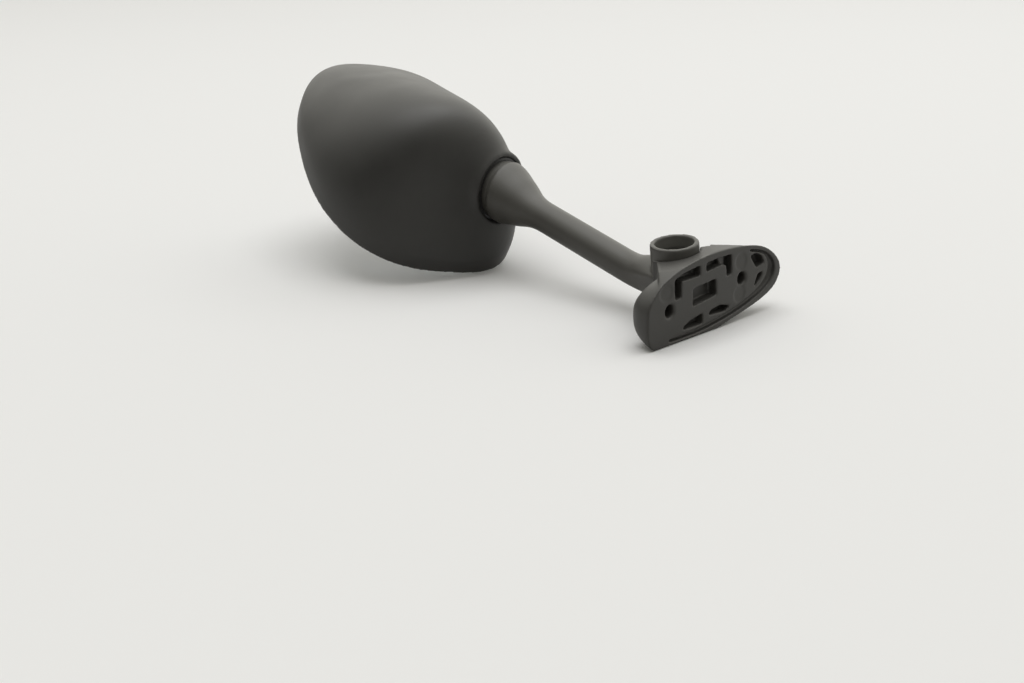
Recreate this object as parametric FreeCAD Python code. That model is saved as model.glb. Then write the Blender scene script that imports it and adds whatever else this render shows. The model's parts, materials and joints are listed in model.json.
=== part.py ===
# Motorcycle mirror: a cast foot with a fold pivot, a cast arm with a ball end, and a moulded head.
# Millimetres and degrees. The origin lies on the foot's mounting face, midway between its stud holes:
# +X runs along the foot, +Y from the foot to the head, +Z up. The mirror rests on the foot and the rim.
import FreeCAD
import Part
import math
import os

Vector = FreeCAD.Vector
Placement = FreeCAD.Placement
Rotation = FreeCAD.Rotation

# Clearances
run_gap = 0.05
face_gap = 0.1
slide_gap = 0.3
glue_gap = 0.02

# Foot: reach of its face from the origin, depth of its pad, and the stud holes
foot_left = 37.0
foot_right = 49.6
foot_top = 16.7
foot_bottom = 16.6
foot_depth = 13.0
stud_pitch = 46.2
stud_slope = 4.8
stud_core_radius = 2.6
stud_mouth_radius = 3.4
stud_depth = 10.0
pocket_depth = 4.5
pocket_round = 0.6
mark_radius = 4.0
mark_depth = 0.3
rim_groove_depth = 2.0

# Fold pivot: its place, lean towards -X, and the hub of the arm around it
pivot_x = 2.2
pivot_y = 18.0
pivot_lean = 6.5
hub_radius = 10.3
hub_top = 19.2
hub_bottom = -7.0
cup_radius = 8.2
cup_floor = -2.0
shroud_wall = 2.4
shroud_height = 13.7
shroud_rise = 7.4
shroud_fall = 6.8
shoulder_reach = 3.1
fold_angle = 45.0
fold_spare = 3.0
jaw_radius = 12.6
jaw_bottom = -14.6

# Fold hardware
fold_shank_radius = 4.0
fold_head_flats = 13.0
fold_head_height = 5.0
fold_head_top = 13.6
fold_washer_thickness = 1.2
fold_washer_radius = 7.6
friction_washer_thickness = 1.5
fold_wire_radius = 1.0
fold_coil_radius = 6.3
fold_coil_turns = 3.5

# Arm: a straight tube from the pivot to the ball
arm_foot_height = -5.0
arm_rise = 13.6
arm_yaw = 2.3
arm_length = 114.4
tube_radius = 7.1
shoulder_half_width = 11.8
ridge_height = 4.2
ridge_up = 6.0
ridge_down = 14.5
root_length = 30.0
ball_radius = 13.7
ball_lift = 1.1
bell_length = 29.0
bell_radius = 14.8
bell_edge = 0.6

# Neck: the axis of the ball joint, and the rings around the ball
neck_yaw = -7.5
neck_pitch = 7.5
neck_mouth = -1.3
mouth_radius = 15.3
mouth_round = 1.3
collar_gap = 2.8
liner_thickness = 1.3
socket_wall = 2.6
neck_hole_angle = 26.0
liner_edge_angle = 82.0
cup_edge_angle = 38.0
cup_thickness = 1.8
neck_stud_radius = 3.0
neck_stud_grip = 11.0
disc_spring_radius = 8.0
disc_spring_sheet = 0.7
disc_spring_dish = 0.5
neck_washer_radius = 7.0
neck_washer_thickness = 1.0
neck_nut_flats = 10.0
neck_nut_height = 4.5
neck_stud_end = 0.8

# Head: its place from the ball and its turn, the rim outline and the crown of the shell
head_shift_x = -6.63
head_shift_y = 73.9
head_shift_z = 1.47
head_tilt = 31.0
head_turn = 21.5
head_half_length = 77.0
head_half_width = 48.0
rim_squareness = 2.7
rim_taper = -0.088
rim_bow = -0.164
rim_lip = 7.0
crown_height = 54.7
crest_place = -0.589
crest_round = 3.3
crest_fullness = 0.9
crown_fullness = 1.1
shell_wall = 2.6
lip_wall = 1.8

# Glass, pad and carrier
glass_radius = 1400.0
glass_thickness = 2.0
glass_recess = 1.0
glass_clearance = 0.6
pad_thickness = 0.8
carrier_thickness = 2.2
carrier_inset = 12.0
boss_radius = 4.0
screw_radius = 1.5
screw_head_radius = 3.0
screw_length = 10.0

far = 200.0


# Shared helpers

def closed_spline(points):
    curve = Part.BSplineCurve()
    curve.interpolate(points, PeriodicFlag=True)
    return Part.Wire(curve.toShape())


def open_spline(points):
    curve = Part.BSplineCurve()
    curve.interpolate(points)
    return curve.toShape()


def prism(points, direction):
    return Part.Face(Part.makePolygon(points + points[:1])).extrude(direction)


def revolved(points, axis=Vector(0, 0, 1)):
    face = Part.Face(Part.makePolygon(points + points[:1]))
    return face.revolve(Vector(0, 0, 0), axis, 360)


def hexagon(flats, height, base):
    corner = flats / math.sqrt(3)
    turns = [math.radians(60 * k) for k in range(6)]
    points = [Vector(corner * math.cos(a), corner * math.sin(a), base) for a in turns]
    return prism(points, Vector(0, 0, height))


def placed(shape, placement):
    moved = shape.copy()
    moved.Placement = placement.multiply(moved.Placement)
    return moved


def half_space(point, normal):
    box = Part.makeBox(2 * far, 2 * far, 2 * far, Vector(-far, -far, 0))
    box.Placement = Placement(point, Rotation(Vector(0, 0, 1), normal))
    return box


# Frames of the pivot, the neck and the head, with the axis or the rim's normal as their own +Z

pivot_frame = Placement(Vector(pivot_x, pivot_y, 0), Rotation(Vector(0, 1, 0), -pivot_lean))

arm_start = pivot_frame.multVec(Vector(0, 0, arm_foot_height))
arm_along = Vector(
    math.sin(math.radians(arm_yaw)) * math.cos(math.radians(arm_rise)),
    math.cos(math.radians(arm_yaw)) * math.cos(math.radians(arm_rise)),
    math.sin(math.radians(arm_rise)),
)
ball_centre = arm_start + arm_along * arm_length + Vector(0, 0, ball_lift)

neck_inward = Vector(
    math.sin(math.radians(neck_yaw)) * math.cos(math.radians(neck_pitch)),
    math.cos(math.radians(neck_yaw)) * math.cos(math.radians(neck_pitch)),
    math.sin(math.radians(neck_pitch)),
)
neck_frame = Placement(ball_centre, Rotation(Vector(0, 0, 1), neck_inward))

tilt, turn = math.radians(head_tilt), math.radians(head_turn)
slope = Vector(0, math.cos(tilt), math.sin(tilt))
head_normal = Vector(0, -math.sin(tilt), math.cos(tilt))
head_along = Vector(math.sin(turn), 0, 0) + slope * math.cos(turn)
head_across = head_normal.cross(head_along)
head_centre = ball_centre + Vector(head_shift_x, head_shift_y, head_shift_z)
head_frame = Placement(head_centre, Rotation(head_along, head_across, head_normal, "ZXY"))


# Foot

def on_face(across, upright, y=0.0):
    """A point of the foot's face, given as shares of its reach from the origin."""
    x = across * (foot_right if across > 0 else foot_left)
    z = upright * (foot_top if upright > 0 else foot_bottom)
    return Vector(x, y, z)


def foot_outline(y, across, upright):
    """The face's outline, drawn in by the two scales towards the pad's middle."""
    edge = [
        (-0.88, -1.0),
        (-0.965, -0.77),
        (-0.99, -0.35),
        (-0.965, 0.10),
        (-0.86, 0.42),
        (-0.54, 0.79),
        (0.0, 1.0),
        (0.44, 0.965),
        (0.70, 0.83),
        (0.90, 0.52),
        (1.0, 0.04),
        (0.955, -0.27),
        (0.80, -0.56),
        (0.58, -0.74),
        (0.36, -0.87),
        (0.13, -1.0),
    ]
    points = [on_face(across * x, upright * z, y) for x, z in edge]
    return Part.Wire([open_spline(points), Part.makeLine(points[-1], points[0])])


def face_pocket(corners, depth):
    blank = prism([on_face(x, z) for x, z in corners], Vector(0, depth, 0))
    upright = [edge for edge in blank.Edges if edge.BoundBox.YLength > 0.5 * depth]
    return blank.makeFillet(pocket_round, upright)


def face_groove(outer_edge, inner_edge, depth):
    outer = [on_face(x, z) for x, z in outer_edge]
    inner = [on_face(x, z) for x, z in inner_edge]
    wire = Part.Wire(
        [
            open_spline(outer),
            Part.makeLine(outer[-1], inner[-1]),
            open_spline(inner[::-1]),
            Part.makeLine(inner[0], outer[0]),
        ]
    )
    return Part.Face(wire).extrude(Vector(0, depth, 0))


def make_foot():
    pad = Part.makeLoft(
        [
            foot_outline(0, 1.0, 1.0),
            foot_outline(0.35 * foot_depth, 0.985, 0.90),
            foot_outline(0.75 * foot_depth, 0.93, 0.72),
            foot_outline(foot_depth, 0.82, 0.50),
        ],
        True,
    )
    shroud_radius = hub_radius + slide_gap + shroud_wall
    reach = pivot_y + shroud_radius
    shroud = Part.makeCylinder(shroud_radius, 2 * far, Vector(pivot_x, pivot_y, -far))
    gusset = prism(
        [
            Vector(-0.81 * foot_left, 0, -far),
            Vector(pivot_x - shroud_radius, pivot_y, -far),
            Vector(pivot_x + 0.7 * shroud_radius, pivot_y - 0.4 * shroud_radius, -far),
            Vector(0.53 * foot_right, 0, -far),
        ],
        Vector(0, 0, 2 * far),
    )
    outline_prism = Part.Face(foot_outline(0, 1.0, 1.0)).extrude(Vector(0, reach, 0))
    boss = shroud.fuse(gusset).common(outline_prism)
    shroud_slope = Vector(
        -math.tan(math.radians(shroud_rise)), math.tan(math.radians(shroud_fall)), 1
    )
    shroud_corner = Vector(pivot_x - shroud_radius, pivot_y - 0.5 * shroud_radius, shroud_height)
    boss = boss.cut(half_space(shroud_corner, shroud_slope))
    boss = boss.cut(half_space(pivot_frame.multVec(Vector(0, 0, jaw_bottom)), Vector(0, 0, -1)))

    jaw_top = hub_bottom - friction_washer_thickness - 2 * face_gap
    jaw = Part.makeCylinder(jaw_radius, jaw_top - jaw_bottom, Vector(0, 0, jaw_bottom))
    socket = Part.makeCylinder(hub_radius + slide_gap, far, Vector(0, 0, jaw_top))
    stop = shoulder_reach - slide_gap
    swing = math.radians(fold_angle + fold_spare)
    swing_cos, swing_sin = math.cos(swing), math.sin(swing)
    wedge = prism(
        [
            Vector(-far, stop, jaw_top),
            Vector(0, stop, jaw_top),
            Vector(stop * swing_sin, stop * swing_cos, jaw_top),
            Vector(far * swing_cos + stop * swing_sin, stop * swing_cos - far * swing_sin, jaw_top),
            Vector(far, far, jaw_top),
            Vector(-far, far, jaw_top),
        ],
        Vector(0, 0, far),
    )
    wedge = wedge.common(Part.makeCylinder(shroud_radius + shroud_wall, far, Vector(0, 0, jaw_top)))
    thread = Part.makeCylinder(fold_shank_radius, far, Vector(0, 0, jaw_bottom))
    foot = pad.fuse([boss, placed(jaw, pivot_frame)])
    foot = foot.cut([placed(socket, pivot_frame), placed(wedge, pivot_frame), placed(thread, pivot_frame)])

    slant = math.radians(stud_slope)
    cuts = []
    for side in (-1, 1):
        x = side * 0.5 * stud_pitch * math.cos(slant)
        z = side * 0.5 * stud_pitch * math.sin(slant)
        flare = stud_mouth_radius - stud_core_radius
        cuts.append(Part.makeCylinder(stud_core_radius, stud_depth, Vector(x, 0, z), Vector(0, 1, 0)))
        cuts.append(
            Part.makeCone(stud_mouth_radius, stud_core_radius, flare, Vector(x, 0, z), Vector(0, 1, 0))
        )
    pockets = [
        [(-0.241, 0.251), (0.117, 0.329), (0.129, -0.090), (-0.235, -0.193)],
        [
            (-0.551, 0.611),
            (-0.422, 0.719),
            (-0.119, 0.796),
            (-0.114, 0.539),
            (-0.435, 0.545),
            (-0.432, 0.132),
            (-0.535, 0.120),
        ],
        [(-0.016, 0.796), (0.145, 0.838), (0.200, 0.653), (-0.011, 0.575)],
        [(0.246, 0.832), (0.317, 0.832), (0.323, 0.317), (0.258, 0.305)],
        [(-0.459, -0.711), (-0.289, -0.542), (-0.070, -0.452), (-0.062, -0.717)],
        [(0.016, -0.560), (0.060, -0.450), (0.173, -0.398), (0.319, -0.494), (0.250, -0.596)],
        [(0.569, 0.635), (0.657, 0.653), (0.728, 0.545), (0.770, 0.340), (0.663, 0.269)],
        [(0.758, 0.138), (0.722, -0.048), (0.617, -0.301), (0.681, 0.084)],
    ]
    for corners in pockets:
        cuts.append(face_pocket(corners, pocket_depth))
    link = [(0.130, 0.828), (0.262, 0.822), (0.262, 0.580), (0.180, 0.660)]
    cuts.append(face_pocket(link, 0.4 * pocket_depth))
    groove_outer = [
        (0.558, 0.808),
        (0.698, 0.707),
        (0.812, 0.557),
        (0.887, 0.353),
        (0.919, 0.090),
        (0.881, -0.151),
        (0.800, -0.343),
        (0.690, -0.482),
        (0.446, -0.687),
        (0.177, -0.819),
        (-0.027, -0.886),
        (-0.284, -0.910),
        (-0.622, -0.904),
    ]
    groove_inner = [
        (0.573, 0.743),
        (0.700, 0.647),
        (0.786, 0.491),
        (0.818, 0.275),
        (0.808, 0.060),
        (0.754, -0.151),
        (0.673, -0.295),
        (0.579, -0.416),
        (0.444, -0.536),
        (0.202, -0.687),
        (0.071, -0.740),
        (-0.114, -0.785),
        (-0.286, -0.815),
        (-0.657, -0.830),
    ]
    cuts.append(face_groove(groove_outer, groove_inner, rim_groove_depth))
    for x, z in ((-0.692, 0.377), (0.442, 0.563), (0.431, -0.277)):
        cuts.append(Part.makeCylinder(mark_radius, mark_depth, on_face(x, z), Vector(0, 1, 0)))
    return foot.cut(cuts).removeSplitter()


# Arm

def arm_section(along, lift, half_width, up, down, ridge):
    """An upright section across the arm: an oval, or two arches that meet in a ridge on each side."""
    side = arm_along.cross(Vector(0, 0, 1)).normalize()
    centre = arm_start + arm_along * along + Vector(0, 0, lift)
    halves = []
    for height in (up, -down):
        points = []
        for k in range(13):
            angle = math.pi * k / 12 if height > 0 else math.pi + math.pi * k / 12
            oval = abs(math.sin(angle))
            z = height * ((1 - ridge) * oval + ridge * oval * oval)
            points.append(centre + side * (half_width * math.cos(angle)) + Vector(0, 0, z))
        halves.append(open_spline(points))
    return Part.Wire(halves)


def eased(share):
    share = min(max(share, 0.0), 1.0)
    return share * share * (3 - 2 * share)


def make_arm():
    root_lift = ridge_height - arm_foot_height - shoulder_reach * math.sin(math.radians(arm_rise))
    last = arm_length + 0.15 * bell_length
    sections = []
    for k in range(21):
        along = shoulder_reach + (last - shoulder_reach) * k / 20
        root = eased(1 - (along - shoulder_reach) / (root_length - shoulder_reach))
        bell = eased(1 - (arm_length - along) / bell_length)
        radius = tube_radius + bell * (bell_radius - tube_radius)
        half_width = radius + root ** 1.5 * (shoulder_half_width - radius)
        up = radius + root * (ridge_up - radius)
        down = radius + root * (ridge_down - radius)
        lift = root * root_lift + bell * ball_lift
        sections.append(arm_section(along, lift, half_width, up, down, root))
    tube = Part.makeLoft(sections, True)
    bell_back = neck_frame.multVec(Vector(0, 0, -neck_mouth - collar_gap))
    tube = tube.cut(half_space(bell_back, neck_inward))
    rim = [edge for edge in tube.Edges if abs((edge.CenterOfMass - bell_back).dot(neck_inward)) < 0.001]
    tube = tube.makeFillet(bell_edge, rim)
    hub = Part.makeCylinder(hub_radius, hub_top - hub_bottom, Vector(0, 0, hub_bottom))
    jaw_room = Part.makeCylinder(jaw_radius + 5 * slide_gap, far, Vector(0, 0, hub_bottom - far))
    ball = Part.makeSphere(ball_radius, ball_centre)
    arm = tube.cut(placed(jaw_room, pivot_frame)).fuse([placed(hub, pivot_frame), ball]).removeSplitter()
    cup = Part.makeCylinder(cup_radius, far, Vector(0, 0, cup_floor))
    bore = Part.makeCylinder(fold_shank_radius + run_gap, 2 * far, Vector(0, 0, -far))
    stud_hole = Part.makeCylinder(neck_stud_radius, far, Vector(0, 0, ball_radius - neck_stud_grip))
    return arm.cut([placed(cup, pivot_frame), placed(bore, pivot_frame), placed(stud_hole, neck_frame)])


# Fold hardware, on the pivot's axis

def fold_hardware():
    head_base = fold_head_top - fold_head_height
    head = hexagon(fold_head_flats, fold_head_height, head_base)
    shank = Part.makeCylinder(fold_shank_radius, head_base - jaw_bottom, Vector(0, 0, jaw_bottom))
    washer_base = head_base - fold_washer_thickness
    washer = Part.makeCylinder(fold_washer_radius, fold_washer_thickness, Vector(0, 0, washer_base))
    washer = washer.cut(Part.makeCylinder(fold_shank_radius + run_gap, far, Vector(0, 0, -far / 2)))
    friction_base = hub_bottom - face_gap - friction_washer_thickness
    friction_seat = Vector(0, 0, friction_base)
    friction = Part.makeCylinder(hub_radius - slide_gap, friction_washer_thickness, friction_seat)
    friction = friction.cut(Part.makeCylinder(fold_shank_radius + run_gap, far, Vector(0, 0, -far / 2)))

    coil_base = cup_floor + face_gap + fold_wire_radius
    coil_top = washer_base - face_gap - fold_wire_radius
    pitch = (coil_top - coil_base) / fold_coil_turns
    helix = Part.makeHelix(pitch, coil_top - coil_base, fold_coil_radius)
    helix.translate(Vector(0, 0, coil_base))
    start = Vector(fold_coil_radius, 0, coil_base)
    wire = Part.Wire(Part.makeCircle(fold_wire_radius, start, Vector(0, 1, 0)))
    spring = Part.Wire(helix).makePipeShell([wire], True, True)
    return {
        "fold_bolt": head.fuse(shank).removeSplitter(),
        "fold_washer": washer,
        "fold_friction_washer": friction,
        "fold_spring": spring,
    }


# Ball joint, on the neck's axis with the ball's centre as its origin

def spherical_ring(inner, outer, near_angle, far_angle):
    """A ring of a thick sphere between two angles from the inward axis."""
    cone_in = math.radians(near_angle)
    cone_out = math.radians(far_angle)
    middle = 0.5 * (cone_in + cone_out)

    def at(radius, angle):
        return Vector(radius * math.sin(angle), 0, radius * math.cos(angle))

    edges = [
        Part.Arc(at(inner, cone_in), at(inner, middle), at(inner, cone_out)).toShape(),
        Part.makeLine(at(inner, cone_out), at(outer, cone_out)),
        Part.Arc(at(outer, cone_out), at(outer, middle), at(outer, cone_in)).toShape(),
        Part.makeLine(at(outer, cone_in), at(inner, cone_in)),
    ]
    return Part.Face(Part.Wire(edges)).revolve(Vector(0, 0, 0), Vector(0, 0, 1), 360)


liner_inner = ball_radius + face_gap
liner_outer = liner_inner + liner_thickness
socket_inner = liner_outer + face_gap
socket_outer = socket_inner + socket_wall
cup_inner = socket_outer + face_gap


def neck_hardware():
    liner = spherical_ring(liner_inner, liner_outer, neck_hole_angle, liner_edge_angle)
    bore = Part.makeCylinder(neck_stud_radius + run_gap, far)
    edge = math.radians(cup_edge_angle)
    cup_back = cup_inner + cup_thickness
    blank = Part.makeCylinder(cup_inner * math.sin(edge), cup_back, Vector(0, 0, 0))
    cup = blank.cut([Part.makeSphere(cup_inner), bore])

    discs = []
    level = cup_back + face_gap
    for up in (True, False):
        low, high = (disc_spring_dish, 0) if up else (0, disc_spring_dish)
        hole, rim = neck_stud_radius + slide_gap, disc_spring_radius
        section = [
            Vector(hole, 0, level + low),
            Vector(rim, 0, level + high),
            Vector(rim, 0, level + high + disc_spring_sheet),
            Vector(hole, 0, level + low + disc_spring_sheet),
        ]
        discs.append(revolved(section))
        level += disc_spring_dish + disc_spring_sheet
    washer_base = level + face_gap
    washer = Part.makeCylinder(neck_washer_radius, neck_washer_thickness, Vector(0, 0, washer_base)).cut(bore)
    nut_base = washer_base + neck_washer_thickness
    nut = hexagon(neck_nut_flats, neck_nut_height, nut_base)
    nut = nut.cut(Part.makeCylinder(neck_stud_radius, far))
    stud_low = ball_radius - neck_stud_grip
    stud_high = nut_base + neck_nut_height + neck_stud_end
    stud = Part.makeCylinder(neck_stud_radius, stud_high - stud_low, Vector(0, 0, stud_low))
    return {
        "neck_liner": liner,
        "neck_pressure_cup": cup,
        "neck_disc_spring_inner": discs[0],
        "neck_disc_spring_outer": discs[1],
        "neck_washer": washer,
        "neck_lock_nut": nut,
        "neck_stud": stud,
    }


# Head, in its own frame: x along the rim's long axis, y across it, z up from the rim to the crown

def rim_half_width(t, inset):
    blunt = (1 - abs(t) ** rim_squareness) ** (1 / rim_squareness)
    return (head_half_width - inset) * blunt * (1 + rim_taper * t)


def rim_middle(t):
    return rim_bow * head_half_width * t * t


def crest(t):
    """Share of the crown's height along the head: a steep inner end and a long fall to the tip."""
    inner = (1 + t) / (1 + crest_place)
    outer = ((1 - t) / (1 - crest_place)) ** crest_fullness
    return (0.5 * (inner ** -crest_round + outer ** -crest_round)) ** (-1 / crest_round)


stations = [-math.cos(math.pi * (k + 0.5) / 17) for k in range(17)]


def shell_section(t, inset, base, lip):
    x = (head_half_length - inset) * t
    half, middle = rim_half_width(t, inset), rim_middle(t)
    height = (crown_height - inset) * crest(t)
    arch = []
    for k in range(13):
        angle = math.pi * k / 12
        z = lip + height * math.sin(angle) ** crown_fullness
        arch.append(Vector(x, middle + half * math.cos(angle), z))
    right, left = Vector(x, middle + half, base), Vector(x, middle - half, base)
    return Part.Wire(
        [
            Part.makeLine(right, arch[0]),
            open_spline(arch),
            Part.makeLine(arch[-1], left),
            Part.makeLine(left, right),
        ]
    )


def crown(inset, base, lip):
    return Part.makeLoft([shell_section(t, inset, base, lip) for t in stations], True)


def rim_prism(inset, low, high):
    sides = []
    for sign in (1, -1):
        points = []
        for t in stations:
            half = rim_half_width(t, inset)
            points.append(Vector((head_half_length - inset) * t, rim_middle(t) + sign * half, low))
        sides.append(points)
    wire = Part.Wire(
        [
            open_spline(sides[0]),
            Part.makeLine(sides[0][-1], sides[1][-1]),
            open_spline(sides[1][::-1]),
            Part.makeLine(sides[1][0], sides[0][0]),
        ]
    )
    return Part.Face(wire).extrude(Vector(0, 0, high - low))


def behind_glass(depth):
    """The room behind a surface that lies depth behind the middle of the convex glass."""
    return Part.makeSphere(glass_radius - depth, Vector(0, 0, glass_recess + glass_radius))


def dished_plate(inset, depth, thickness):
    """A plate of the rim's outline, curved with the convex glass and lying depth behind its face."""
    blank = rim_prism(inset, -glass_recess, crown_height)
    return blank.common(behind_glass(depth)).cut(behind_glass(depth + thickness))


pad_depth = glass_thickness + glue_gap
carrier_depth = pad_depth + pad_thickness + glue_gap
boss_depth = carrier_depth + carrier_thickness + glue_gap
boss_shares = [(0.60, 0.36), (0.49, -0.54), (-0.16, 0.58), (-0.65, 0.36)]
boss_places = [(along * head_half_length, across * head_half_width) for along, across in boss_shares]
neck_in_head = head_frame.inverse().multiply(neck_frame)


def screw_seat(x, y):
    return glass_recess + carrier_depth + slide_gap + (x * x + y * y) / (2 * glass_radius)


def make_head():
    outer = crown(0, 0, rim_lip)
    hollow = crown(shell_wall, -rim_lip, rim_lip - lip_wall)
    bosses = []
    pilots = []
    for x, y in boss_places:
        column = Part.makeCylinder(boss_radius, far, Vector(x, y, 0)).common(outer)
        bosses.append(column.common(behind_glass(boss_depth)))
        seat = Vector(x, y, screw_seat(x, y))
        pilots.append(Part.makeCylinder(screw_radius, screw_length + slide_gap, seat))
    mouth_plane = neck_in_head.multVec(Vector(0, 0, -neck_mouth))
    outward = neck_in_head.Rotation.multVec(Vector(0, 0, -1))
    socket = Part.makeSphere(socket_outer, neck_in_head.Base).cut(half_space(mouth_plane, outward))
    bead = [edge for edge in socket.Edges if abs(edge.CenterOfMass.distanceToPoint(mouth_plane)) < 0.001]
    socket = socket.makeFillet(mouth_round, bead)
    shell = outer.cut(hollow).fuse(bosses + [socket])
    ball_room = Part.makeSphere(socket_inner, neck_in_head.Base)
    mouth = placed(Part.makeCylinder(mouth_radius, far, Vector(0, 0, -far)), neck_in_head)
    half_angle = math.tan(math.radians(neck_hole_angle))
    swing = placed(Part.makeCone(0, far * half_angle, far), neck_in_head)
    swing = swing.common(Part.makeSphere(socket_outer + 1, neck_in_head.Base))
    return shell.cut(pilots + [ball_room, mouth, swing])


def glass_stack():
    glass = dished_plate(shell_wall + glass_clearance, 0, glass_thickness)
    pad = dished_plate(carrier_inset, pad_depth, pad_thickness)
    carrier = dished_plate(carrier_inset, carrier_depth, carrier_thickness)
    screws = []
    sinks = []
    for x, y in boss_places:
        seat = Vector(x, y, screw_seat(x, y))
        head = Part.makeCone(screw_head_radius, screw_radius, screw_head_radius - screw_radius, seat)
        shank = Part.makeCylinder(screw_radius, screw_length, seat)
        screws.append(head.fuse(shank).removeSplitter())
        sinks.append(Part.makeCylinder(screw_head_radius, slide_gap * 2, seat - Vector(0, 0, slide_gap * 2)))
    carrier = carrier.cut(screws + sinks)
    stack = {"mirror_glass": glass, "adhesive_pad": pad, "glass_carrier": carrier}
    for number, screw in enumerate(screws, 1):
        stack["carrier_screw_" + str(number)] = screw
    return stack


# Pieces in the row's frame, one file for each

pieces = {"base_foot": make_foot(), "arm": make_arm()}
for name, shape in fold_hardware().items():
    pieces[name] = placed(shape, pivot_frame)
for name, shape in neck_hardware().items():
    pieces[name] = placed(shape, neck_frame)
pieces["head_shell"] = placed(make_head(), head_frame)
for name, shape in glass_stack().items():
    pieces[name] = placed(shape, head_frame)

os.makedirs("parts", exist_ok=True)
for name, shape in pieces.items():
    shape.exportStep("parts/" + name + ".step")
    box = shape.BoundBox
    print(name, len(shape.Solids), shape.isValid(), round(shape.Volume, 1),
          [round(v, 1) for v in (box.XMin, box.YMin, box.ZMin, box.XMax, box.YMax, box.ZMax)])
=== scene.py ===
import json
import math

import bpy
from mathutils import Matrix, Vector


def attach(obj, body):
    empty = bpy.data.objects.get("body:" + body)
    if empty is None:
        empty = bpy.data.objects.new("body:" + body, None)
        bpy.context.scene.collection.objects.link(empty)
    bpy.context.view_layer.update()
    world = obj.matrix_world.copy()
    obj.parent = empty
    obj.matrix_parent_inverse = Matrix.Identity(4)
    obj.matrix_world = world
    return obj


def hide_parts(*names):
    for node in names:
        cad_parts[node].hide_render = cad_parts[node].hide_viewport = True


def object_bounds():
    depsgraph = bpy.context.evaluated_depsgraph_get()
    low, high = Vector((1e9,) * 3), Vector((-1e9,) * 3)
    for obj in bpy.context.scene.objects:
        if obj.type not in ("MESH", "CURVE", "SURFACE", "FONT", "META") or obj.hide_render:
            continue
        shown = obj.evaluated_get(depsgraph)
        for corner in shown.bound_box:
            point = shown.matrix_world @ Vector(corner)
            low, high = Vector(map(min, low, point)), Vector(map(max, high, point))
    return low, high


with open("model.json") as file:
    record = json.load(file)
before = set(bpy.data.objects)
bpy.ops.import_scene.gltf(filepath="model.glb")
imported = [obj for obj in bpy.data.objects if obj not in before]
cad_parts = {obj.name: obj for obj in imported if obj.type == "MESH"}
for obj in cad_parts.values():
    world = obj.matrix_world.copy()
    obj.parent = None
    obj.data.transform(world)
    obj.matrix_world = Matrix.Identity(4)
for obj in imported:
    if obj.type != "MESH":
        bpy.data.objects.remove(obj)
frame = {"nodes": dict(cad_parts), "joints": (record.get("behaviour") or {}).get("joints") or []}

cad_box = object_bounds()
bpy.ops.object.select_all(action="DESELECT")

# Studio: a pale floor under a wide ceiling softbox and a weaker one at the side. The walls are pale beyond
# the mirror and dim behind the camera, which stands past the foot and looks down along the arm. The floor
# is pale to the eye and in reflections, and throws only a little light up on to the undersides.
view_right = Vector((0.72449, -0.68890, -0.02302))
view_up = Vector((0.23866, 0.21937, 0.94600))
view_back = Vector((-0.64665, -0.69086, 0.32335))
bpy.ops.object.camera_add(location=(-0.45578, -0.36897, 0.18017))
camera = bpy.context.object
camera.rotation_euler = Matrix((view_right, view_up, view_back)).transposed().to_euler()
camera.data.lens = 52.03
camera.data.sensor_width = 36.0
camera.data.clip_start = 0.01
bpy.context.scene.camera = camera
bpy.context.scene.view_settings.view_transform = "Standard"

floor_level = cad_box[0][2]
floor_width = 8.0
bpy.ops.mesh.primitive_plane_add(size=floor_width, location=(0, 0, floor_level))
floor = bpy.context.object
floor.name = "studio_floor"
floor_paint = bpy.data.materials.new("studio_floor")
floor_paint.use_nodes = True
floor_shader = floor_paint.node_tree.nodes["Principled BSDF"]
floor_shader.inputs["Roughness"].default_value = 0.9
floor_shader.inputs["Specular IOR Level"].default_value = 0.1
floor_nodes, floor_links = floor_paint.node_tree.nodes, floor_paint.node_tree.links
floor_ray = floor_nodes.new("ShaderNodeLightPath")
floor_tone = floor_nodes.new("ShaderNodeMix")
floor_tone.data_type = "RGBA"
floor_seen = (0.90, 0.90, 0.90, 1)
floor_bounce = (0.24, 0.22, 0.19, 1)
floor_tone.inputs["A"].default_value = floor_seen
floor_tone.inputs["B"].default_value = floor_bounce
floor_links.new(floor_ray.outputs["Is Diffuse Ray"], floor_tone.inputs["Factor"])
floor_links.new(floor_tone.outputs["Result"], floor_shader.inputs["Base Color"])
floor.data.materials.append(floor_paint)

mirror_middle = Vector((0.0, 0.13, 0.02))
for label, place, size, power in (
    ("ceiling_softbox", (0.05, 0.30, 3.00), 2.8, 45.5),
    ("side_softbox", (1.50, 0.20, 2.00), 1.6, 7.5),
):
    bpy.ops.object.light_add(type="AREA", location=place)
    lamp = bpy.context.object
    lamp.name = label
    lamp.data.size = size
    lamp.data.energy = power
    lamp.rotation_euler = (mirror_middle - Vector(place)).to_track_quat("-Z", "Y").to_euler()

walls = bpy.data.worlds.new("studio_walls")
bpy.context.scene.world = walls
walls.use_nodes = True
wall_nodes, wall_links = walls.node_tree.nodes, walls.node_tree.links
wall_light = wall_nodes["Background"]
wall_light.inputs["Color"].default_value = (1.0, 0.985, 0.91, 1)
sight = wall_nodes.new("ShaderNodeNewGeometry")
beyond = wall_nodes.new("ShaderNodeVectorMath")
beyond.operation = "DOT_PRODUCT"
from_bright_side = (-0.45, -0.10, -0.88)
beyond.inputs[1].default_value = from_bright_side
wall_links.new(sight.outputs["Incoming"], beyond.inputs[0])
wall_tone = wall_nodes.new("ShaderNodeMapRange")
wall_tone.interpolation_type = "SMOOTHSTEP"
wall_dim, wall_bright = 0.10, 1.40
wall_tone.inputs["From Min"].default_value = -0.10
wall_tone.inputs["From Max"].default_value = 0.62
wall_tone.inputs["To Min"].default_value = wall_dim
wall_tone.inputs["To Max"].default_value = wall_bright
wall_links.new(beyond.outputs["Value"], wall_tone.inputs["Value"])
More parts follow.
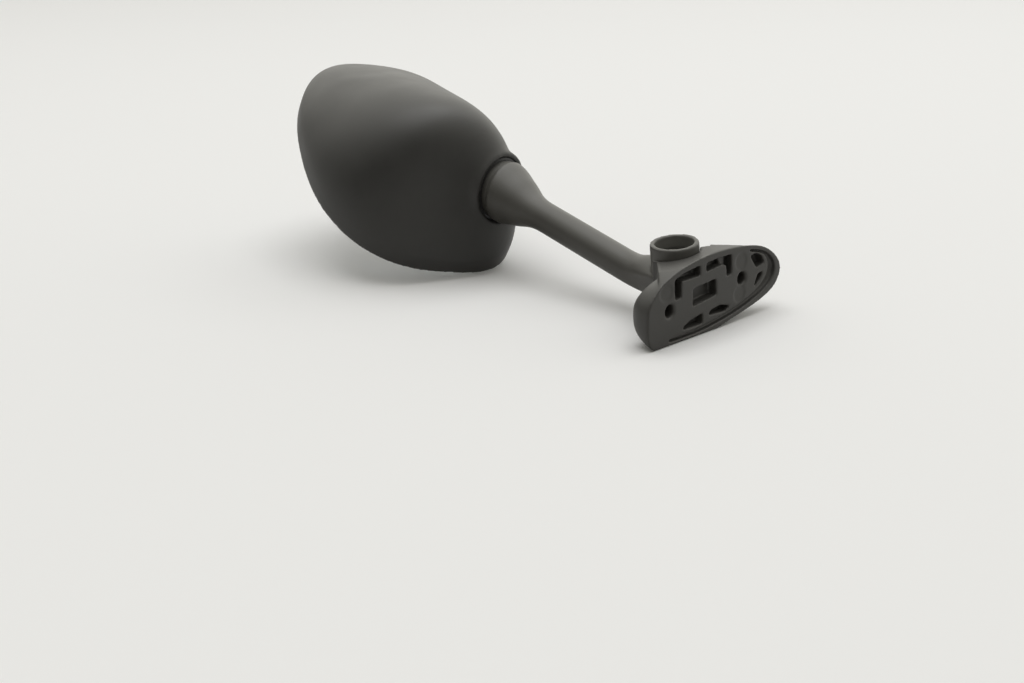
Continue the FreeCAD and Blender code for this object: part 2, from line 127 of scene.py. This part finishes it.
ray_kind = wall_nodes.new("ShaderNodeLightPath")
wall_share = wall_nodes.new("ShaderNodeMix")
wall_fill = 0.32
wall_share.inputs["B"].default_value = wall_fill
wall_links.new(ray_kind.outputs["Is Diffuse Ray"], wall_share.inputs["Factor"])
wall_links.new(wall_tone.outputs["Result"], wall_share.inputs["A"])
wall_links.new(wall_share.outputs["Result"], wall_light.inputs["Strength"])


# Foot: a zinc die casting with rounded edges, ribbed by shallow pockets on its mounting face,
# coated in satin black. It is screwed to the fairing by two studs.
coat_sheen = 0.44
cloud_scale = 45.0
cloud_low, cloud_high = 0.3, 0.7
cloud_dark, cloud_pale = 0.85, 1.12
gloss_spread = 0.04


def satin_coat(name, colour, roughness, grain_size, grain_depth, metallic=0.0):
    """A coat with fine grain, faint tone changes and uneven gloss, all on the piece's own coordinates."""
    coat = bpy.data.materials.new(name)
    coat.use_nodes = True
    nodes, links = coat.node_tree.nodes, coat.node_tree.links
    shader = nodes["Principled BSDF"]
    shader.inputs["Metallic"].default_value = metallic
    shader.inputs["Specular IOR Level"].default_value = coat_sheen
    coords = nodes.new("ShaderNodeTexCoord")

    grain = nodes.new("ShaderNodeTexNoise")
    grain.inputs["Scale"].default_value = 1.0 / grain_size
    grain.inputs["Detail"].default_value = 3.0
    links.new(coords.outputs["Object"], grain.inputs["Vector"])
    bump = nodes.new("ShaderNodeBump")
    bump.inputs["Strength"].default_value = 0.6
    bump.inputs["Distance"].default_value = grain_depth
    links.new(grain.outputs["Fac"], bump.inputs["Height"])
    links.new(bump.outputs["Normal"], shader.inputs["Normal"])

    cloud = nodes.new("ShaderNodeTexNoise")
    cloud.inputs["Scale"].default_value = cloud_scale
    cloud.inputs["Detail"].default_value = 4.0
    links.new(coords.outputs["Object"], cloud.inputs["Vector"])
    tone = nodes.new("ShaderNodeValToRGB")
    tone.color_ramp.elements[0].position = cloud_low
    tone.color_ramp.elements[1].position = cloud_high
    tone.color_ramp.elements[0].color = [cloud_dark * c for c in colour] + [1]
    tone.color_ramp.elements[1].color = [cloud_pale * c for c in colour] + [1]
    links.new(cloud.outputs["Fac"], tone.inputs["Fac"])
    links.new(tone.outputs["Color"], shader.inputs["Base Color"])
    gloss = nodes.new("ShaderNodeMapRange")
    gloss.inputs["From Min"].default_value = cloud_low
    gloss.inputs["From Max"].default_value = cloud_high
    gloss.inputs["To Min"].default_value = roughness - gloss_spread
    gloss.inputs["To Max"].default_value = roughness + gloss_spread
    links.new(cloud.outputs["Fac"], gloss.inputs["Value"])
    links.new(gloss.outputs["Result"], shader.inputs["Roughness"])
    return coat


def edit(piece):
    bpy.ops.object.select_all(action="DESELECT")
    piece.select_set(True)
    bpy.context.view_layer.objects.active = piece
    bpy.ops.object.mode_set(mode="EDIT")
    bpy.ops.mesh.select_mode(type="VERT")


def leave_edit():
    bpy.ops.object.mode_set(mode="OBJECT")


def soften(piece, grain, passes):
    """Rebuilds a piece's skin at an even grain and eases its edges, as they leave the die."""
    bpy.ops.object.select_all(action="DESELECT")
    piece.select_set(True)
    bpy.context.view_layer.objects.active = piece
    piece.data.remesh_voxel_size = grain
    piece.data.use_remesh_preserve_volume = False
    bpy.ops.object.voxel_remesh()
    edit(piece)
    bpy.ops.mesh.select_all(action="SELECT")
    bpy.ops.mesh.vertices_smooth(factor=0.5, repeat=passes)
    leave_edit()
    bpy.ops.object.shade_smooth()


weld_reach = 1e-6


def casting_of(node, name):
    """A new piece from a copy of a solid, with its loose triangles joined."""
    piece = bpy.data.objects.new(name, frame["nodes"][node].data.copy())
    bpy.context.scene.collection.objects.link(piece)
    piece.data.materials.clear()
    edit(piece)
    bpy.ops.mesh.select_all(action="SELECT")
    bpy.ops.mesh.remove_doubles(threshold=weld_reach)
    leave_edit()
    bpy.ops.mesh.customdata_custom_splitnormals_clear()
    return piece


coated_zinc = satin_coat("coated_zinc", (0.046, 0.045, 0.042), 0.48, 0.0009, 0.00005)
foot = casting_of("base_foot", "foot_casting")
foot_grain, foot_passes = 0.00037, 9
soften(foot, foot_grain, foot_passes)
foot.data.materials.append(coated_zinc)
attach(foot, "foot")
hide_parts("base_foot")


# Fold hardware: a zinc plated shoulder bolt with its washer, a spring in the hub's cup,
# and a nylon washer between the hub and the foot's jaw.
plated_steel = satin_coat("plated_steel", (0.56, 0.56, 0.53), 0.38, 0.0015, 0.00002, metallic=1.0)
spring_steel = satin_coat("spring_steel", (0.42, 0.42, 0.43), 0.36, 0.0010, 0.00002, metallic=1.0)
natural_nylon = satin_coat("natural_nylon", (0.74, 0.72, 0.64), 0.50, 0.0012, 0.00003)
for node, finish in (
    ("fold_bolt", plated_steel),
    ("fold_washer", plated_steel),
    ("fold_spring", spring_steel),
    ("fold_friction_washer", natural_nylon),
):
    frame["nodes"][node].material_slots[0].material = finish


# Arm: an aluminium die casting with the pivot hub at one end and the ball at the other,
# tumbled and coated in the same satin black as the foot. Its colour is painted lighter than the foot's, as
# painted light standing in for the light on the arm's upper faces.
painted_light_aluminium_coat = satin_coat("painted_light_aluminium_coat", (0.074, 0.072, 0.066), 0.45, 0.0009, 0.00004)
arm = casting_of("arm", "arm_casting")
arm_grain, arm_passes = 0.00042, 8
soften(arm, arm_grain, arm_passes)
arm.data.materials.append(painted_light_aluminium_coat)
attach(arm, "arm")
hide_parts("arm")


# Ball joint: a stud in the ball pulls a pressed cup on to the socket through two disc springs,
# and a black acetal liner runs between the ball and the socket.
black_acetal = satin_coat("black_acetal", (0.02, 0.02, 0.02), 0.40, 0.0012, 0.00003)
for node, finish in (
    ("neck_stud", plated_steel),
    ("neck_lock_nut", plated_steel),
    ("neck_washer", plated_steel),
    ("neck_disc_spring_inner", spring_steel),
    ("neck_disc_spring_outer", spring_steel),
    ("neck_pressure_cup", plated_steel),
    ("neck_liner", black_acetal),
):
    frame["nodes"][node].material_slots[0].material = finish


# Head shell: one injection moulding in black plastic with a fine spark grain, open towards the rider,
# with the ball's socket and its bead moulded into the inner end.
neck = next(joint for joint in frame["joints"] if joint["name"] == "head_twist")
ball_centre = Vector(neck["pos_m"])
neck_inward = Vector(neck["axis"]).normalized()
head_shift = Vector((-0.00663, 0.07390, 0.00147))
head_origin = ball_centre + head_shift
head_tilt, head_turn = math.radians(31.0), math.radians(21.5)
slope = Vector((0, math.cos(head_tilt), math.sin(head_tilt)))
head_normal = Vector((0, -math.sin(head_tilt), math.cos(head_tilt)))
head_along = Vector((math.sin(head_turn), 0, 0)) + slope * math.cos(head_turn)
head_across = head_normal.cross(head_along)
half_length, half_width = 0.0770, 0.0480
rim_squareness, rim_taper, rim_bow = 2.7, -0.088, -0.164
rim_lip, shell_wall = 0.0070, 0.0026
crown_height, crest_place, crest_round, crest_fullness = 0.0547, -0.589, 3.3, 0.9
crown_fullness = 1.1


def on_head(x, y, z):
    return head_origin + head_along * x + head_across * y + head_normal * z


def rim_point(t, side, inset):
    """A place on the rim's outline: t along the head, side from -1 to 1 across it."""
    blunt = max(1 - abs(t) ** rim_squareness, 0.0) ** (1 / rim_squareness)
    reach = (half_width - inset) * blunt * (1 + rim_taper * t)
    return (half_length - inset) * t, rim_bow * half_width * t * t + side * reach


def crown_share(t):
    inner = max((1 + t) / (1 + crest_place), 1e-4)
    outer = max(((1 - t) / (1 - crest_place)), 1e-4) ** crest_fullness
    return (0.5 * (inner ** -crest_round + outer ** -crest_round)) ** (-1 / crest_round)


bpy.ops.object.select_all(action="DESELECT")
crown_steps, arch_steps = 120, 64
bpy.ops.mesh.primitive_grid_add(x_subdivisions=crown_steps, y_subdivisions=arch_steps, size=2)
shell = bpy.context.object
shell.name = "head_moulding"
crown_reach = 0.9995
for vertex in shell.data.vertices:
    t = math.sin(vertex.co.x * math.pi / 2) * crown_reach
    angle = (vertex.co.y + 1) * math.pi / 2
    x, y = rim_point(t, math.cos(angle), 0.0)
    rise = crown_height * crown_share(t) * max(math.sin(angle), 0.0) ** crown_fullness
    vertex.co = on_head(x, y, rim_lip + rise)
edit(shell)
bpy.ops.mesh.select_all(action="SELECT")
tip_weld = 2e-5
bpy.ops.mesh.remove_doubles(threshold=tip_weld)
bpy.ops.mesh.select_mode(type="EDGE")
bpy.ops.mesh.select_all(action="DESELECT")
bpy.ops.mesh.select_non_manifold()
bpy.ops.mesh.extrude_edges_move(TRANSFORM_OT_translate={"value": head_normal * -rim_lip})
bpy.ops.mesh.select_all(action="SELECT")
bpy.ops.mesh.normals_make_consistent(inside=False)
leave_edit()
wall = shell.modifiers.new("wall", "SOLIDIFY")
wall.thickness = shell_wall
wall.offset = -1.0
bpy.ops.object.modifier_apply(modifier=wall.name)

mouth_level = 0.0013
mouth_place = ball_centre + neck_inward * mouth_level
socket_inner, socket_outer, mouth_radius = 0.0152, 0.0178, 0.0153
round_steps = 96
bpy.ops.object.select_all(action="DESELECT")
bpy.ops.mesh.primitive_uv_sphere_add(
    segments=round_steps, ring_count=round_steps // 2, radius=socket_outer, location=ball_centre
)
socket = bpy.context.object
bpy.ops.object.transform_apply()
edit(socket)
bpy.ops.mesh.select_all(action="SELECT")
bpy.ops.mesh.bisect(plane_co=mouth_place, plane_no=neck_inward, use_fill=True, clear_inner=True)
leave_edit()
lip_radius, lip_level, collar_depth = 0.0014, 0.0027, 0.0120
lip_steps = 8
profile = [(socket_inner, collar_depth), (socket_inner, lip_level)]
for step in range(1, lip_steps + 1):
    roll = math.pi * (1 - step / lip_steps)
    reach = socket_inner + lip_radius * (1 + math.cos(roll))
    depth = lip_level - lip_radius * math.sin(roll)
    profile.append((reach, depth))
profile.append((profile[-1][0], collar_depth))
neck_side = neck_inward.cross(Vector((0, 0, 1))).normalized()
bpy.ops.object.select_all(action="DESELECT")
bpy.ops.mesh.primitive_circle_add(vertices=len(profile), fill_type="NOTHING")
collar = bpy.context.object
for vertex, (reach, depth) in zip(collar.data.vertices, profile):
    vertex.co = ball_centre + neck_side * reach + neck_inward * depth
edit(collar)
bpy.ops.mesh.select_all(action="SELECT")
bpy.ops.mesh.spin(steps=round_steps, angle=2 * math.pi, center=ball_centre, axis=neck_inward)
bpy.ops.mesh.select_all(action="SELECT")
bpy.ops.mesh.remove_doubles(threshold=weld_reach)
bpy.ops.mesh.normals_make_consistent(inside=False)
leave_edit()
bpy.ops.object.select_all(action="DESELECT")
for part in (socket, collar, shell):
    part.select_set(True)
bpy.context.view_layer.objects.active = shell
bpy.ops.object.join()
shell_grain, shell_passes = 0.00086, 4
soften(shell, shell_grain, shell_passes)
blend_depth, blend_inner, blend_outer, blend_passes = 0.0180, 0.0165, 0.0290, 36
for vertex in shell.data.vertices:
    from_ball = vertex.co - ball_centre
    depth = from_ball.dot(neck_inward)
    reach = (from_ball - neck_inward * depth).length
    vertex.select = lip_level < depth < blend_depth and blend_inner < reach < blend_outer
for group in (shell.data.edges, shell.data.polygons):
    for part in group:
        part.select = all(shell.data.vertices[k].select for k in part.vertices)
edit(shell)
bpy.ops.mesh.vertices_smooth(factor=0.5, repeat=blend_passes)
leave_edit()

bpy.ops.object.select_all(action="DESELECT")
neck_turn = neck_inward.to_track_quat("Z", "Y").to_euler()
bpy.ops.mesh.primitive_uv_sphere_add(
    segments=round_steps, ring_count=round_steps // 2, radius=socket_inner, location=ball_centre
)
ball_room = bpy.context.object
bpy.ops.object.transform_apply()
mouth_length, mouth_setback = 0.0300, 0.0145
bpy.ops.mesh.primitive_cylinder_add(
    vertices=round_steps,
    radius=mouth_radius,
    depth=mouth_length,
    location=ball_centre - neck_inward * mouth_setback,
    rotation=neck_turn,
)
mouth = bpy.context.object
bpy.ops.object.transform_apply()
swing_radius, swing_length, swing_advance = 0.0110, 0.0225, 0.01125
bpy.ops.mesh.primitive_cone_add(
    vertices=64,
    radius1=0.0,
    radius2=swing_radius,
    depth=swing_length,
    location=ball_centre + neck_inward * swing_advance,
    rotation=neck_turn,
)
swing_room = bpy.context.object
bpy.ops.object.transform_apply()
for cutter in (ball_room, mouth, swing_room):
    bpy.ops.object.select_all(action="DESELECT")
    shell.select_set(True)
    bpy.context.view_layer.objects.active = shell
    hollow = shell.modifiers.new("hollow", "BOOLEAN")
    hollow.operation = "DIFFERENCE"
    hollow.object = cutter
    bpy.ops.object.modifier_apply(modifier=hollow.name)
    bpy.data.objects.remove(cutter)
mouth_passes = 2
soften(shell, shell_grain, mouth_passes)
moulded_black = satin_coat("moulded_black", (0.029, 0.0285, 0.027), 0.47, 0.0006, 0.00005)
shell.data.materials.append(moulded_black)
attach(shell, "head")
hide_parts("head_shell")


# Glass: a convex plate ground round its edge and silvered on the back, held by foam tape
# on a moulded carrier that screws to the shell's bosses.
glass_radius, glass_recess, glass_thickness = 1.4, 0.0010, 0.0020
glass_inset = 0.0032
side_steps = 96
side_reach = 0.999
bpy.ops.object.select_all(action="DESELECT")
bpy.ops.mesh.primitive_circle_add(vertices=2 * side_steps, fill_type="NOTHING", radius=1.0)
glass = bpy.context.object
glass.name = "mirror_plate"
for number, vertex in enumerate(glass.data.vertices):
    around = number if number <= side_steps else 2 * side_steps - number
    t = -side_reach * math.cos(math.pi * around / side_steps)
    x, y = rim_point(t, 1 if number <= side_steps else -1, glass_inset)
    vertex.co = (x, y, 0)
edit(glass)
bpy.ops.mesh.select_all(action="SELECT")
ring_shares = (0.985, 0.93, 0.88, 0.82, 0.76, 0.68, 0.58, 0.42, 0.2)
for shrink in ring_shares:
    bpy.ops.mesh.extrude_edges_move()
    bpy.ops.transform.resize(value=(shrink, shrink, 1), center_override=(0, 0, 0))
bpy.ops.mesh.edge_face_add()
bpy.ops.mesh.select_all(action="SELECT")
bpy.ops.mesh.normals_make_consistent(inside=False)
leave_edit()
for vertex in glass.data.vertices:
    x, y = vertex.co.xy
    vertex.co = on_head(x, y, glass_recess + (x * x + y * y) / (2 * glass_radius))
plate = glass.modifiers.new("plate", "SOLIDIFY")
plate.thickness = glass_thickness
plate.offset = -1.0
bpy.ops.object.modifier_apply(modifier=plate.name)
ground = glass.modifiers.new("ground", "BEVEL")
ground_width, sharp_angle, smooth_angle = 0.0005, math.radians(50), math.radians(40)
ground.width = ground_width
ground.segments = 3
ground.limit_method = "ANGLE"
ground.angle_limit = sharp_angle
bpy.ops.object.modifier_apply(modifier=ground.name)
bpy.ops.object.shade_smooth_by_angle(angle=smooth_angle)
silvering = satin_coat("silvering", (0.80, 0.82, 0.83), 0.045, 0.02, 0.0, metallic=1.0)
glass.data.materials.append(silvering)
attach(glass, "head")
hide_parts("mirror_glass")

foam_tape = satin_coat("foam_tape", (0.05, 0.05, 0.05), 0.85, 0.0008, 0.0001)
carrier_black = satin_coat("carrier_black", (0.040, 0.040, 0.041), 0.50, 0.0010, 0.00004)
frame["nodes"]["adhesive_pad"].material_slots[0].material = foam_tape
frame["nodes"]["glass_carrier"].material_slots[0].material = carrier_black
for number in (1, 2, 3, 4):
    frame["nodes"]["carrier_screw_" + str(number)].material_slots[0].material = plated_steel
